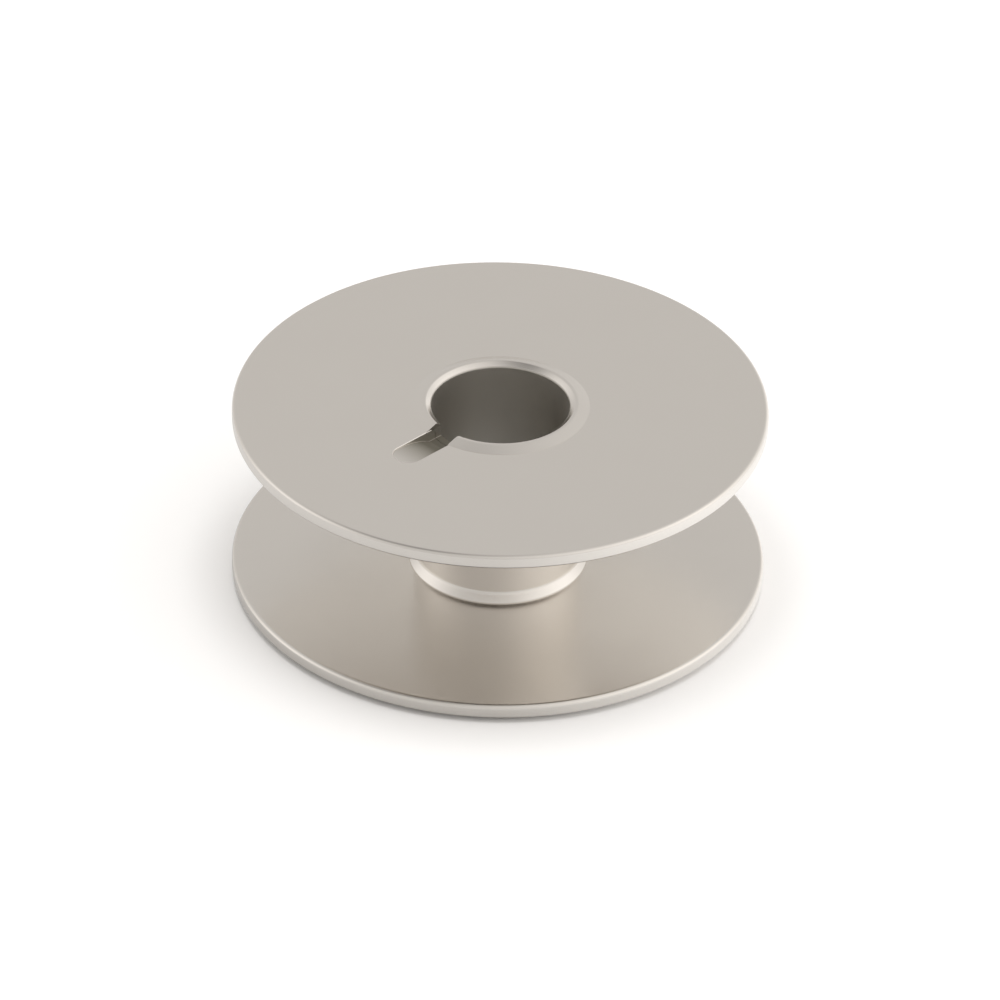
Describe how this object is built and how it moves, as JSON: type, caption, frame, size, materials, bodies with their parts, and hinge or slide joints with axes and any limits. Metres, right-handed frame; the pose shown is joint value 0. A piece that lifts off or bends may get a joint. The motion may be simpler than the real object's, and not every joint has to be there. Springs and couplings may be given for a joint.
{
  "type": "sewing machine bobbin",
  "caption": "Metal sewing-machine bobbin: a short bored hub tube rolled over thin flat discs, with a radial slot in the upper disc for the winder's key.",
  "frame": {"origin": "under the bore's axis, on the plane of the lower lip's end, where the bobbin stands", "axes": "+Z along the bore from the plain disc to the slotted disc; +X to the right and +Y away in the picture's view"},
  "size_m": [0.024, 0.024, 0.0091],
  "materials": {
    "hub_plate": "bright nickel plate over turned steel, with fine turning marks around the axis",
    "disc_plate": "satin nickel plate over sheet steel, smooth, with polished rims"
  },
  "bodies": {
    "root": {"hub": "hub_plate", "upper_flange": "disc_plate", "lower_flange": "disc_plate"}
  },
  "joints": []
}
